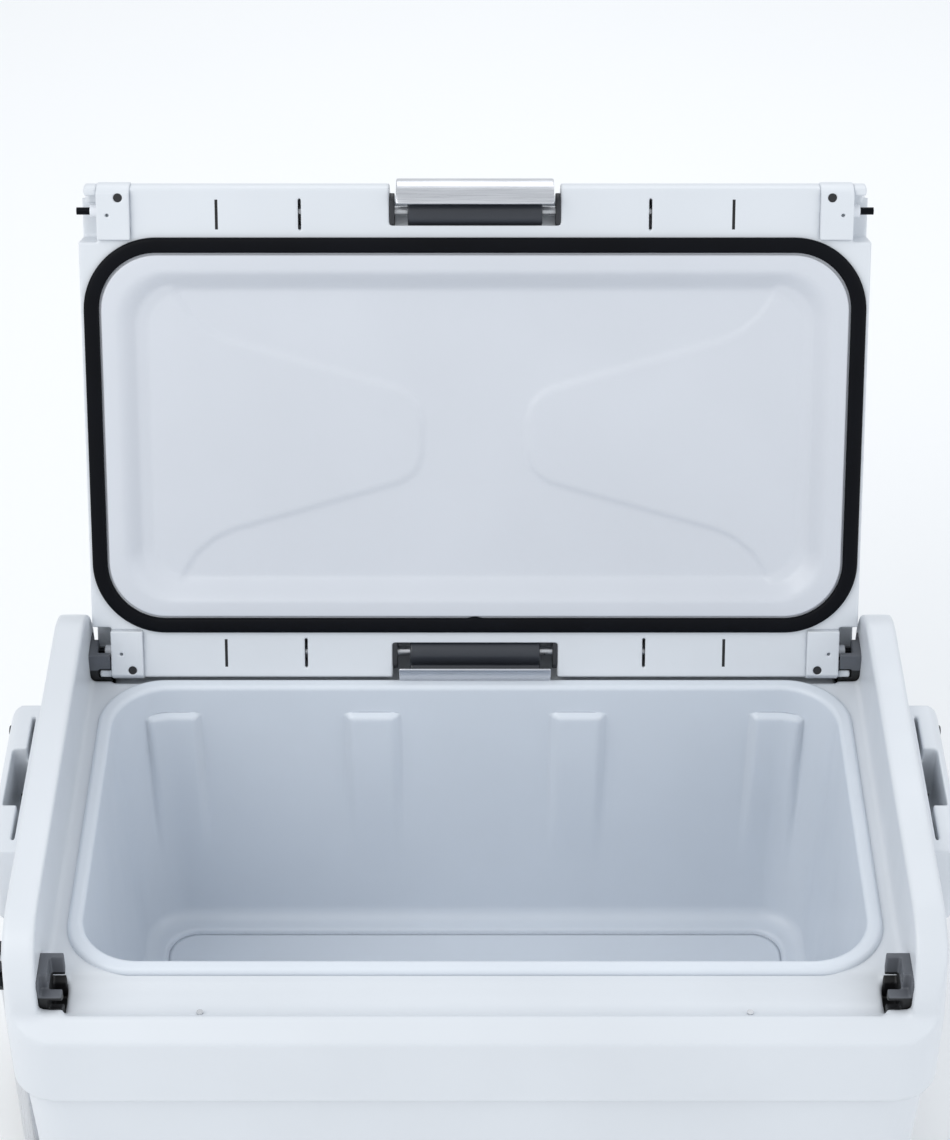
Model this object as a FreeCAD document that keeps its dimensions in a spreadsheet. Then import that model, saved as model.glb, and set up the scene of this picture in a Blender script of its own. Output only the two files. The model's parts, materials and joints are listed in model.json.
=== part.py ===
import FreeCAD, Part
import math
import os
import re

import Sketcher

# Wheeled cool box with a lid that can open from either long side.
# Frame: millimetres, +X to the right, +Y to the back, +Z up. The origin is on the
# ground, on the underside of the middle skid rib. The lid is drawn shut and then
# turned about its rear pins, because the rest position is lid open.

SIZES = {
    # body
    "body_half_x": 348.0, "body_half_y": 222.5, "body_corner": 35.0,
    "base_half_x": 334.0, "base_half_y": 209.0, "waist_half_x": 342.0, "waist_half_y": 216.5,
    "shell_low": 30.0, "collar_low": 250.0, "collar_top": 310.0, "shell_wall": 4.0,
    "rim_top": 323.0, "crest_y": 205.8, "shoulder_in": 320.5, "shoulder_top": 388.5,
    "shoulder_round": 52.0, "shoulder_half_y": 207.0,
    # hinge pins
    "pin_high": 340.0, "pin_y": 184.2, "gutter": 27.5, "pin_radius": 3.0, "rod_radius": 4.0,
    "running_gap": 0.05, "pin_travel": 12.0, "pin_tip": 320.0, "pin_root": 262.0, "rod_root": 20.0,
    # tub
    "mouth_x": 300.0, "mouth_y": 155.0, "mouth_corner": 48.0, "liner_wall": 3.0,
    "tub_floor": 61.5, "tub_floor_x": 289.0, "tub_floor_y": 144.0, "floor_corner": 40.0,
    "bead": 7.0, "bead_high": 1.5, "floor_step": 4.0,
    # lid
    "lid_half_x": 318.0, "lid_under": 329.0, "lid_top": 389.0, "roll": 22.0, "lid_skin": 3.5,
    "cavity_x": 309.0, "cavity_y": 160.0, "cavity_corner": 57.0, "corner_cut_x": 303.0,
    "tray_x": 289.0, "tray_y": 137.0, "tray_floor_x": 266.0, "tray_floor_y": 120.0,
    "tray_corner": 40.0, "tray_deep": 14.0, "ridge_high": 3.0,
    "gasket_x": 316.0, "gasket_y": 165.0, "gasket_corner": 60.0, "gasket_wide": 13.6,
    "gasket_high": 4.0, "block_x": 276.0, "block_roll": 23.0, "block_low": 324.0,
    "skin_in": 17.0, "skin_end": 313.0,
    # latch
    "latch_half": 68.5, "cheek": 4.0, "drum_half": 54.0, "drum_radius": 12.0,
    "plate_half": 63.0, "plate_out": 26.0, "plate_in": 23.8, "peg_x": 40.0, "peg": 2.0, "peg_gap": 0.4,
    # wheels
    "wheel_radius": 75.0, "wheel_x": 304.0, "wheel_y": 193.0, "axle_radius": 6.0,
    "well_radius": 83.0, "well_in": 168.0,
    # handles
    "bracket_out": 371.0, "bracket_half": 83.0, "bracket_low": 296.0, "bracket_top": 370.0,
    "carry_x": 359.0, "carry_z": 318.0, "carry_pin": 4.0, "carry_grip": 12.0, "carry_drop": 102.0,
    "tow_x": 360.0, "tow_z": 276.0, "tow_y": 112.0, "tow_tube": 7.4, "tow_bend": 30.0,
    "tow_low": 50.0, "tow_grip": 13.0,
    # drain
    "drain_y": 84.0, "drain_z": 78.0, "drain_bore": 12.0, "drain_tube": 16.0,
}
OPEN_ANGLE = 114.3      # degrees from shut to the open stop

doc = FreeCAD.newDocument("cool_box")
sheet = doc.addObject("Spreadsheet::Sheet", "sizes")
for row, (alias, value) in enumerate(SIZES.items(), start=1):
    sheet.set(f"A{row}", alias)
    sheet.set(f"B{row}", str(value))
    sheet.setAlias(f"B{row}", alias)
doc.recompute()

NODES = []


# ---------------------------------------------------------------- helpers

def formula(text):
    """A formula in plain size names, as a FreeCAD expression on the sheet."""
    return re.sub(r"[a-z_]{3,}", lambda m: "sizes." + m.group(0) if m.group(0) in SIZES else m.group(0),
                  str(text))


def number(value):
    """The value of a number or of a formula."""
    return float(sheet.evalExpression(formula(value))) if isinstance(value, str) else float(value)


def bind(obj, prop, value):
    """Set a property from a number, or bind it to a formula."""
    obj.setExpression(prop, formula(value))


def place(obj, at):
    for axis, value in zip("xyz", at):
        bind(obj, "Placement.Base." + axis, value)
    return obj


def box(name, xs, ys, zs):
    """A box given by its low and high side on each axis."""
    obj = doc.addObject("Part::Box", name)
    for prop, (low, high) in zip(("Length", "Width", "Height"), (xs, ys, zs)):
        bind(obj, prop, f"({high}) - ({low})")
    return place(obj, (xs[0], ys[0], zs[0]))


TURNS = {
    "x": FreeCAD.Rotation(FreeCAD.Vector(0, 1, 0), 90),
    "y": FreeCAD.Rotation(FreeCAD.Vector(1, 0, 0), -90),
    "z": FreeCAD.Rotation(),
}


def rod(name, radius, start, length, along="x"):
    """A cylinder from a start point, along one axis."""
    obj = doc.addObject("Part::Cylinder", name)
    bind(obj, "Radius", radius)
    bind(obj, "Height", length)
    obj.Placement = FreeCAD.Placement(FreeCAD.Vector(), TURNS[along])
    return place(obj, start)


def span_rod(name, radius, low, high, centre, along):
    """A cylinder between two coordinates on its own axis."""
    start = list(centre)
    start.insert("xyz".index(along), low)
    return rod(name, radius, start, f"({high}) - ({low})", along)


def cut(name, base, *tools):
    obj = doc.addObject("Part::Cut", name)
    obj.Base = base
    obj.Tool = tools[0] if len(tools) == 1 else fuse(name + "_tools", *tools)
    return obj


def fuse(name, *parts):
    obj = doc.addObject("Part::MultiFuse", name)
    obj.Shapes = list(parts)
    return obj


def common(name, first, second):
    obj = doc.addObject("Part::MultiCommon", name)
    obj.Shapes = [first, second]
    return obj


def group(name, parts):
    """Identical loose pieces that share one node."""
    obj = doc.addObject("Part::Compound", name)
    obj.Links = list(parts)
    return obj


def mirrored(name, source, axis):
    obj = doc.addObject("Part::Mirroring", name)
    obj.Source = source
    obj.Normal = {"x": FreeCAD.Vector(1, 0, 0), "y": FreeCAD.Vector(0, 1, 0)}[axis]
    return obj


def both_sides(name, source, axis):
    """A solid and its mirror image, as one object."""
    return fuse(name, source, mirrored(name + "_twin", source, axis))


def quarters(name, source):
    """A solid repeated at the four corners, as loose pieces."""
    right = mirrored(name + "_right", source, "x")
    parts = [source, right, mirrored(name + "_back", source, "y"), mirrored(name + "_both", right, "y")]
    return group(name, parts)


def origin_plane(body, role):
    return [feature for feature in body.Origin.OriginFeatures if feature.Role == role][0]


def new_sketch(body, name, role, offset=0):
    sketch = body.newObject("Sketcher::SketchObject", name)
    sketch.AttachmentSupport = [(origin_plane(body, role), "")]
    sketch.MapMode = "FlatFace"
    bind(sketch, "AttachmentOffset.Base.z", offset)
    return sketch


def drive(sketch, kind, references, value):
    """Add a dimension to a sketch and bind it to a formula."""
    index = sketch.addConstraint(Sketcher.Constraint(kind, *references, number(value)))
    sketch.setExpression(f"Constraints[{index}]", formula(value))


def rounded_rectangle(sketch, half_x, half_y, corner):
    """A rectangle about the sketch's origin, with four equal round corners."""
    radius = number(corner)
    reach = (number(half_x) - radius, number(half_y) - radius)
    signs = ((1, 1), (-1, 1), (-1, -1), (1, -1))
    arcs = []
    for index, (sign_x, sign_y) in enumerate(signs):
        centre = FreeCAD.Vector(sign_x * reach[0], sign_y * reach[1], 0)
        circle = Part.Circle(centre, FreeCAD.Vector(0, 0, 1), radius)
        start = index * math.pi / 2
        arcs.append(sketch.addGeometry(Part.ArcOfCircle(circle, start, start + math.pi / 2)))
    lines = []
    for index in range(4):
        ends = sketch.Geometry[arcs[index]].EndPoint, sketch.Geometry[arcs[(index + 1) % 4]].StartPoint
        lines.append(sketch.addGeometry(Part.LineSegment(*ends)))
    for index in range(4):
        sketch.addConstraint(Sketcher.Constraint("Tangent", arcs[index], 2, lines[index], 1))
        sketch.addConstraint(Sketcher.Constraint("Tangent", lines[index], 2, arcs[(index + 1) % 4], 1))
        direction = "Horizontal" if index % 2 == 0 else "Vertical"
        sketch.addConstraint(Sketcher.Constraint(direction, lines[index]))
    for arc in arcs[1:]:
        sketch.addConstraint(Sketcher.Constraint("Equal", arcs[0], arc))
    sketch.addConstraint(Sketcher.Constraint("Symmetric", arcs[0], 3, arcs[2], 3, -1, 1))
    drive(sketch, "Radius", (arcs[0],), corner)
    drive(sketch, "DistanceX", (-1, 1, arcs[0], 3), f"({half_x}) - ({corner})")
    drive(sketch, "DistanceY", (-1, 1, arcs[0], 3), f"({half_y}) - ({corner})")


def slab(name, half_x, half_y, corner, low, high):
    """A flat plate with round corners, centred on the z axis."""
    body = doc.addObject("PartDesign::Body", name)
    sketch = new_sketch(body, name + "_outline", "XY_Plane", low)
    rounded_rectangle(sketch, half_x, half_y, corner)
    pad = body.newObject("PartDesign::Pad", name + "_pad")
    pad.Profile = sketch
    bind(pad, "Length", f"({high}) - ({low})")
    return body


def tapered(name, lower, upper):
    """A tapered block between two round-cornered rectangles: (half x, half y, corner, z)."""
    body = doc.addObject("PartDesign::Body", name)
    sketches = []
    for tag, (half_x, half_y, corner, height) in (("_low", lower), ("_high", upper)):
        sketch = new_sketch(body, name + tag, "XY_Plane", height)
        rounded_rectangle(sketch, half_x, half_y, corner)
        sketches.append(sketch)
    loft = body.newObject("PartDesign::AdditiveLoft", name + "_loft")
    loft.Profile = sketches[0]
    loft.Sections = [sketches[1]]
    loft.Ruled = True
    return body


def polygon(sketch, points):
    """A closed outline whose corners are bound to formulas."""
    corners = [FreeCAD.Vector(number(x), number(y), 0) for x, y in points]
    count = len(points)
    lines = [sketch.addGeometry(Part.LineSegment(corners[i], corners[(i + 1) % count])) for i in range(count)]
    for index, (x, y) in enumerate(points):
        after = (index + 1) % count
        sketch.addConstraint(Sketcher.Constraint("Coincident", lines[index], 2, lines[after], 1))
        drive(sketch, "DistanceX", (-1, 1, lines[index], 1), x)
        drive(sketch, "DistanceY", (-1, 1, lines[index], 1), y)


def bar(name, points, half_length):
    """A profile of (y, z) points, drawn out to both sides along x."""
    body = doc.addObject("PartDesign::Body", name)
    sketch = new_sketch(body, name + "_outline", "YZ_Plane")
    polygon(sketch, points)
    pad = body.newObject("PartDesign::Pad", name + "_pad")
    pad.Profile = sketch
    pad.Midplane = True
    bind(pad, "Length", f"2 * ({half_length})")
    return body


def upright(name, points, low, high):
    """A profile of (x, y) points, drawn up along z."""
    body = doc.addObject("PartDesign::Body", name)
    sketch = new_sketch(body, name + "_outline", "XY_Plane", low)
    polygon(sketch, points)
    pad = body.newObject("PartDesign::Pad", name + "_pad")
    pad.Profile = sketch
    bind(pad, "Length", f"({high}) - ({low})")
    return body


def turned(name, points, centre, along="y"):
    """A profile of (radius, height) points, turned about an axis through centre."""
    body = doc.addObject("PartDesign::Body", name)
    sketch = new_sketch(body, name + "_outline", "XZ_Plane")
    polygon(sketch, points)
    spin = body.newObject("PartDesign::Revolution", name + "_turn")
    spin.Profile = sketch
    spin.ReferenceAxis = (sketch, ["V_Axis"])
    spin.Angle = 360
    body.Placement = FreeCAD.Placement(FreeCAD.Vector(), TURNS[along])
    return place(body, centre)


def rounded_edges(name, base, radius, wanted):
    """Round the straight edges of a box whose direction and place match wanted(edge)."""
    doc.recompute()
    obj = doc.addObject("Part::Fillet", name)
    obj.Base = base
    edges = [(i, radius, radius) for i, edge in enumerate(base.Shape.Edges, start=1) if wanted(edge)]
    obj.Edges = edges
    return obj


def ring_piece(name, inner, outer, span, start, end):
    """Part of a ring about the rear pin axis, between two values of x and two angles.
    Angles are in degrees, 0 outwards (+Y) and 90 upwards."""
    disc = doc.addObject("Part::Cylinder", name + "_disc")
    bind(disc, "Radius", outer)
    bind(disc, "Height", f"({span[1]}) - ({span[0]})")
    disc.Angle = end - start
    turn = FreeCAD.Rotation(FreeCAD.Vector(1, 0, 0), start)
    align = FreeCAD.Rotation(FreeCAD.Vector(0, 1, 0), FreeCAD.Vector(0, 0, 1), FreeCAD.Vector(1, 0, 0),
                             "ZXY")
    disc.Placement = FreeCAD.Placement(FreeCAD.Vector(), turn.multiply(align))
    place(disc, (span[0], "pin_y", "pin_high"))
    core = span_rod(name + "_core", inner, f"({span[0]}) - 1", f"({span[1]}) + 1", ("pin_y", "pin_high"), "x")
    return cut(name, disc, core)


def loose_screw(name, at, size, along, points_down):
    """A domed screw head with its shank; size is (head radius, shank radius, head height, length)."""
    head, shank, head_high, long = size
    outline = [(0, 0), (head, 0), (head, head_high * 0.5), (head * 0.8, head_high), (0, head_high)]
    start = list(at)
    if points_down:
        start["xyz".index(along)] = f"({at['xyz'.index(along)]}) - {long}"
    else:
        outline = [(radius, -height) for radius, height in reversed(outline)]
    dome = turned(name + "_head", outline, at, along)
    return fuse(name, dome, rod(name + "_shank", shank, start, long, along))


def screws(name, places, size, along="z", points_down=True):
    """Equal loose screws that share a node, one at each place."""
    parts = [loose_screw(f"{name}_{index}", at, size, along, points_down) for index, at in enumerate(places)]
    return group(name, parts)


def runs_along(edge, axis):
    span = edge.Vertexes[-1].Point - edge.Vertexes[0].Point
    return edge.Length > 1e-6 and abs(abs(getattr(span, axis)) - edge.Length) < 1e-6


def keep(name, obj, swings=False):
    """Register a finished sub-part under its node name."""
    obj.Label = name
    NODES.append((name, obj, swings))


def on_lid(name, obj):
    """Register a sub-part that turns with the lid."""
    keep(name, obj, swings=True)


# ---------------------------------------------------------------- body shell and tub

def outer_form():
    """The outside of the body, solid: lower body, collar, rim deck and two end shoulders."""
    lower = tapered("form_lower", ("base_half_x", "base_half_y", "body_corner", "shell_low"),
                    ("waist_half_x", "waist_half_y", "body_corner", "collar_low"))
    collar = slab("form_collar", "body_half_x", "body_half_y", "body_corner", "collar_low - 4", "collar_top")
    envelope = tapered("form_envelope", ("body_half_x", "body_half_y", "body_corner", "collar_top"),
                       ("body_half_x - 3.5", "body_half_y - 3.5", "body_corner", "shoulder_top + 1"))
    deck = bar("form_deck", [("-body_half_y", "collar_top"), ("-crest_y", "rim_top"), ("crest_y", "rim_top"),
                             ("body_half_y", "collar_top"), ("body_half_y", "collar_top - 1"),
                             ("-body_half_y", "collar_top - 1")], "body_half_x - 4")
    across = ("-shoulder_half_y", "shoulder_half_y")
    block = box("form_shoulder_block", ("shoulder_in", "body_half_x"), across,
                ("collar_top - 1", "shoulder_top"))
    top = number("shoulder_top")
    end = rounded_edges("form_shoulder", block, number("shoulder_round"),
                        lambda edge: runs_along(edge, "x") and edge.Vertexes[0].Z > top - 1)
    ends = both_sides("form_shoulders", end, "x")
    head = common("form_head", envelope, fuse("form_head_all", deck, ends))
    return fuse("outer_form", lower, collar, head)


def inner_form():
    """The space inside the outer shell, before the wheel wells are kept out of it."""
    lower = tapered("cavity_lower",
                    ("base_half_x - shell_wall", "base_half_y - shell_wall", "body_corner - shell_wall",
                     "shell_low + shell_wall"),
                    ("waist_half_x - shell_wall", "waist_half_y - shell_wall", "body_corner - shell_wall",
                     "collar_low"))
    upper = slab("cavity_upper", "body_half_x - shell_wall", "body_half_y - shell_wall",
                 "body_corner - shell_wall", "collar_low", "collar_top - shell_wall")
    return fuse("inner_form", lower, upper)


def well(name, extra):
    """The two wheel wells as solids, larger all over by extra."""
    one = span_rod(name + "_one", f"well_radius + {extra}", f"well_in - {extra}", 240,
                   ("wheel_x", "wheel_radius"), "y")
    return both_sides(name, one, "y")


def tub_solid(name, extra, low, high):
    """The inside of the tub, larger all over by extra, between two heights."""
    slope = "(mouth_x - tub_floor_x) / (rim_top - tub_floor)"
    return tapered(name, (f"tub_floor_x + {extra} + ({low} - tub_floor) * {slope}",
                          f"tub_floor_y + {extra} + ({low} - tub_floor) * {slope}",
                          f"floor_corner + {extra}", low),
                   (f"mouth_x + {extra} + ({high} - rim_top) * {slope}",
                    f"mouth_y + {extra} + ({high} - rim_top) * {slope}", f"mouth_corner + {extra}", high))


form = outer_form()
void = cut("shell_void", inner_form(), well("well_core", "shell_wall"))
gutter_one = span_rod("gutter_rear", "gutter", "-corner_cut_x - 0.5", "corner_cut_x + 0.5",
                      ("pin_y", "pin_high"), "x")
gutters = both_sides("gutters", gutter_one, "y")
tub_outside = tub_solid("tub_outside", "liner_wall", "tub_floor - liner_wall", "rim_top")
flange_seat = slab("flange_seat", "mouth_x + bead", "mouth_y + bead", "mouth_corner + bead",
                   "rim_top - 2", "rim_top + 2")
drain_start = ("-body_half_x", "drain_y", "drain_z")
drain_hole = rod("drain_hole", "drain_tube", drain_start, 70)
axle_hole = span_rod("axle_hole", "axle_radius + 3", -200, 200, ("wheel_x", "wheel_radius"), "y")

SOCKET_X = ("corner_cut_x + 0.5", "shoulder_in + 5")
SOCKET_Y = ("pin_y - 17", "pin_y + 13.5")
socket_seat = box("socket_seat", SOCKET_X, SOCKET_Y, ("pin_high - 40", "pin_high + 9"))
socket_seats = quarters("socket_seats", socket_seat)
# the lid's edge skin runs on past its blocks, and turns through this part of a ring
skin_sweep = ring_piece("skin_sweep", "skin_in - 0.6", "roll + 0.6", ("corner_cut_x", "skin_end + 0.8"),
                        -160, 70)
skin_sweeps = quarters("skin_sweeps", skin_sweep)

base_spots = [(x, y, "shell_low - 8") for x in (-240, 60) for y in (-75, 75)]
base_screws = screws("base_screws", base_spots, (6, 2, 3, 10), points_down=False)
bracket_spots = [("bracket_out", y, z) for y in (-72, 72) for z in (322, 352)]
end_screws = screws("end_screws", bracket_spots, (5, 2, 2.5, 30), along="x")
bracket_screws = group("carry_bracket_screws", [end_screws, mirrored("end_screws_left", end_screws, "x")])

# the low end wall leans out, so the drain's flange starts where the wall is at its height
wall_x = "-(base_half_x + (drain_z - shell_low) * (waist_half_x - base_half_x) / (collar_low - shell_low))"
bush_flange = rod("drain_bush_flange", 22, (f"{wall_x} - 2", "drain_y", "drain_z"), 3)

keep("outer_shell", cut("outer_shell", form, well("wells", "0"), void, gutters, tub_outside, flange_seat,
                        drain_hole, axle_hole, socket_seats, skin_sweeps, bush_flange, base_screws,
                        bracket_screws))


def inner_liner():
    """The tub: basin, rim bead, four shallow pilasters on each long wall and a stepped floor."""
    bead = slab("liner_bead", "mouth_x + bead", "mouth_y + bead", "mouth_corner + bead",
                "rim_top - 2", "rim_top + bead_high")
    inside = tub_solid("tub_inside", "0", "tub_floor + floor_step", "rim_top + 2")
    well_floor = slab("tub_floor_step", "tub_floor_x - 19", "tub_floor_y - 19", "floor_corner - 8",
                      "tub_floor", "tub_floor + 2 * floor_step")
    pilasters = []
    for index, (near, far) in enumerate(((65, 108), (231, 274))):
        one = box(f"pilaster_{index}", (near, far), ("mouth_y - 5.5", "mouth_y + 2"), (170, "rim_top - 24"))
        pilasters.append(quarters(f"pilasters_{index}", one))
    ribs = common("pilasters_in_wall", tub_outside, fuse("pilasters_all", *pilasters))
    basin = cut("liner_basin", fuse("liner_solid", tub_outside, bead), inside, well_floor)
    return cut("inner_liner", fuse("liner_ribbed", basin, ribs), drain_hole)


keep("inner_liner", inner_liner())
keep("foam_core", cut("foam_core", void, tub_outside, drain_hole, axle_hole, flange_seat, socket_seats))

# ---------------------------------------------------------------- base, axle and wheels

tray_plate = slab("tray_plate", "base_half_x - 8", "base_half_y - 8", "body_corner - 6",
                  "shell_low - 8", "shell_low")
tray_ribs = [box(f"tray_rib_{index}", (-310, 205), (y - 12, y + 12), (0, "shell_low - 8"))
             for index, y in enumerate((-150, 0, 150))]
tray_lugs = [box(f"tray_lug_{index}", (-312, -262), (y - 16, y + 16), (0, "shell_low - 8"))
             for index, y in enumerate((-150, 0, 150))]
tray_well = well("tray_wells", "2")
keep("base_tray", cut("base_tray", fuse("tray_solid", tray_plate, *tray_ribs, *tray_lugs), tray_well,
                      base_screws))
keep("base_screws", base_screws)


axle = span_rod("axle_bar", "axle_radius", "-wheel_y - 27", "wheel_y + 27", ("wheel_x", "wheel_radius"), "y")
keep("axle", axle)
tube = span_rod("axle_tube_solid", "axle_radius + 3", "-well_in", "well_in", ("wheel_x", "wheel_radius"), "y")
tube_bore = span_rod("axle_tube_bore", "axle_radius", -250, 250, ("wheel_x", "wheel_radius"), "y")
keep("axle_tube", cut("axle_tube", tube, tube_bore))

cap = [("axle_radius", 0), ("axle_radius + 7", 0), ("axle_radius + 5", 4), ("axle_radius", 4)]
cap_back = turned("axle_cap_one", cap, ("wheel_x", "wheel_y + 22", "wheel_radius"))
keep("axle_caps", group("axle_caps", [cap_back, mirrored("axle_cap_two", cap_back, "y")]))

TYRE = [(52, -17), (62, -20), (70, -21), ("wheel_radius - 1.5", -16), ("wheel_radius", -8),
        ("wheel_radius", 8), ("wheel_radius - 1.5", 16), (70, 21), (62, 20), (52, 17)]
HUB = [("axle_radius + running_gap", -21), (15, -21), (17, -6), (44, -6), (46, -17), (52, -17),
       (52, 17), (46, 17), (44, 6), (17, 6), (15, 21), ("axle_radius + running_gap", 21)]


def wheel(side, sign):
    centre = ("wheel_x", f"{sign} * wheel_y", "wheel_radius")
    keep(f"tyre_{side}", turned(f"tyre_{side}", TYRE, centre))
    disc = turned(f"hub_{side}_disc", HUB, centre)
    holes = []
    for index in range(6):
        angle = math.radians(60 * index)
        at = (f"wheel_x + {31 * math.cos(angle):.3f}", f"wheel_radius + {31 * math.sin(angle):.3f}")
        holes.append(span_rod(f"hub_{side}_hole_{index}", 9, f"{sign} * wheel_y - 25",
                              f"{sign} * wheel_y + 25", at, "y"))
    keep(f"wheel_hub_{side}", cut(f"wheel_hub_{side}", disc, *holes))


wheel("front", -1)
wheel("back", 1)

# ---------------------------------------------------------------- corner sockets and rim buttons


def socket(name, sign_x, sign_y):
    """A cradle at one corner: open above and inwards, with a pin hole in its outer wall."""
    solid = box(name + "_solid", SOCKET_X, SOCKET_Y, ("pin_high - 40", "pin_high + 9"))
    ledge = box(name + "_ledge", ("corner_cut_x", "shoulder_in - 1"), ("pin_y + 4.5", "pin_y + 30"),
                ("pin_high - 6", "pin_high + 12"))
    hollow = box(name + "_hollow", ("corner_cut_x", 314), ("pin_y - 12.5", "pin_y + 5"),
                 ("pin_high - 34", "pin_high + 12"))
    hole = rod(name + "_hole", "pin_radius + running_gap", (310, "pin_y", "pin_high"), 13)
    shape = cut(name + "_right_rear", solid, ledge, hollow, hole, skin_sweep)
    if sign_x < 0:
        shape = mirrored(name + "_flip_x", shape, "x")
    if sign_y < 0:
        shape = mirrored(name + "_flip_y", shape, "y")
    keep(name, shape)


CORNERS = {"front_left": (-1, -1), "front_right": (1, -1), "rear_left": (-1, 1), "rear_right": (1, 1)}
for corner, (sign_x, sign_y) in CORNERS.items():
    socket(f"socket_{corner}", sign_x, sign_y)

button = rod("rim_button_one", 2.5, (203, "pin_y + 13", "pin_high - 30"), 8, "z")
keep("rim_buttons", quarters("rim_buttons", common("rim_button_shown", button, gutter_one)))

# ---------------------------------------------------------------- carry handles


def carry_bracket(side):
    """The end bracket: finger window, top slit and two pockets for the handle's arms."""
    block = box(f"bracket_{side}_block", (330, "bracket_out"), ("-bracket_half", "bracket_half"),
                ("bracket_low", "bracket_top"))
    out = number("bracket_out")
    rounded = rounded_edges(f"bracket_{side}_round", block, 9,
                            lambda edge: edge.Vertexes[0].X > out - 1 and edge.Vertexes[-1].X > out - 1)
    slit = box(f"bracket_{side}_slit", (350.5, 353.5), (-70, 70), ("bracket_top - 14", "bracket_top + 1"))
    window = box(f"bracket_{side}_window", (353.5, 364.5), (-32, 32), ("bracket_low - 1", "bracket_top + 1"))
    pocket = box(f"bracket_{side}_pocket", (348.5, "bracket_out + 1"), (36, 58),
                 ("bracket_low - 1", "carry_z + 20"))
    pockets = both_sides(f"bracket_{side}_pockets", pocket, "y")
    hole = span_rod(f"bracket_{side}_hole", "carry_pin", -66, 66, ("carry_x", "carry_z"), "y")
    shaped = cut(f"bracket_{side}_shaped", rounded, form, slit, window, pockets, hole)
    return cut(f"bracket_{side}_right", shaped, end_screws)


def carry_handle():
    """A swing handle: two barrels on the pivot pins, two arms and a cross bar."""
    grip_z = "carry_z - carry_drop"
    barrel = span_rod("carry_barrel", 9, 37, 57, ("carry_x", "carry_z"), "y")
    arm = box("carry_arm", ("carry_x - 5", "carry_x + 5"), (41, 53), (grip_z, "carry_z"))
    cross = span_rod("carry_cross", 7, -53, 53, ("carry_x", grip_z), "y")
    bore = span_rod("carry_bore", "carry_pin + running_gap", -60, 60, ("carry_x", "carry_z"), "y")
    sides = [both_sides("carry_barrels", barrel, "y"), both_sides("carry_arms", arm, "y")]
    return cut("carry_handle_solid", fuse("carry_frame", *sides, cross), bore)


def carry_grip():
    grip_z = "carry_z - carry_drop"
    sleeve = span_rod("carry_sleeve", "carry_grip", -38, 38, ("carry_x", grip_z), "y")
    bore = span_rod("carry_sleeve_bore", 7, -60, 60, ("carry_x", grip_z), "y")
    return cut("carry_grip_solid", sleeve, bore)


pin_one = span_rod("carry_pin_one", "carry_pin", 33, 66, ("carry_x", "carry_z"), "y")
carry_parts = {"carry_bracket": carry_bracket("one"), "carry_handle": carry_handle(),
               "carry_grip": carry_grip()}
for part_name, right_one in carry_parts.items():
    keep(part_name + "_right", right_one)
    keep(part_name + "_left", mirrored(part_name + "_left_copy", right_one, "x"))
keep("carry_pivot_pins", quarters("carry_pivot_pins", pin_one))

keep("carry_bracket_screws", bracket_screws)

# ---------------------------------------------------------------- tow handle


def bent_tube(name):
    """The U of the tow handle: a round tube along two legs, two bends and a cross bar."""
    body = doc.addObject("PartDesign::Body", name)
    path = new_sketch(body, name + "_path", "YZ_Plane", "-tow_x")
    side, top, low, bend = (number(key) for key in ("tow_y", "tow_z", "tow_low", "tow_bend"))
    points = [(side, top), (side, low + bend), (side - bend, low), (bend - side, low), (-side, low + bend),
              (-side, top)]
    points = [FreeCAD.Vector(y, z, 0) for y, z in points]
    upward = FreeCAD.Vector(0, 0, 1)
    bend_right = Part.Circle(FreeCAD.Vector(side - bend, low + bend, 0), upward, bend)
    bend_left = Part.Circle(FreeCAD.Vector(bend - side, low + bend, 0), upward, bend)
    legs = [path.addGeometry(Part.LineSegment(points[i], points[i + 1])) for i in (0, 2, 4)]
    right = path.addGeometry(Part.ArcOfCircle(bend_right, -math.pi / 2, 0))
    left = path.addGeometry(Part.ArcOfCircle(bend_left, math.pi, 1.5 * math.pi))
    for line, end, arc, arc_end in ((legs[0], 2, right, 2), (legs[1], 1, right, 1),
                                    (legs[1], 2, left, 2), (legs[2], 1, left, 1)):
        path.addConstraint(Sketcher.Constraint("Tangent", line, end, arc, arc_end))
    path.addConstraint(Sketcher.Constraint("Equal", right, left))
    path.addConstraint(Sketcher.Constraint("Vertical", legs[0]))
    path.addConstraint(Sketcher.Constraint("Vertical", legs[2]))
    drive(path, "Radius", (right,), "tow_bend")
    drive(path, "DistanceX", (-1, 1, legs[0], 1), "tow_y")
    drive(path, "DistanceY", (-1, 1, legs[0], 1), "tow_z")
    drive(path, "DistanceX", (-1, 1, legs[2], 2), "-tow_y")
    drive(path, "DistanceY", (-1, 1, legs[2], 2), "tow_z")
    drive(path, "DistanceY", (-1, 1, legs[1], 1), "tow_low")
    ring = new_sketch(body, name + "_ring", "XY_Plane", "tow_z")
    round_wall = Part.Circle(FreeCAD.Vector(-number("tow_x"), side, 0), upward, number("tow_tube"))
    circle = ring.addGeometry(round_wall)
    drive(ring, "Radius", (circle,), "tow_tube")
    drive(ring, "DistanceX", (-1, 1, circle, 3), "-tow_x")
    drive(ring, "DistanceY", (-1, 1, circle, 3), "tow_y")
    pipe = body.newObject("PartDesign::AdditivePipe", name + "_pipe")
    pipe.Profile = ring
    pipe.Spine = (path, [f"Edge{i + 1}" for i in range(5)])
    return body


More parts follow.
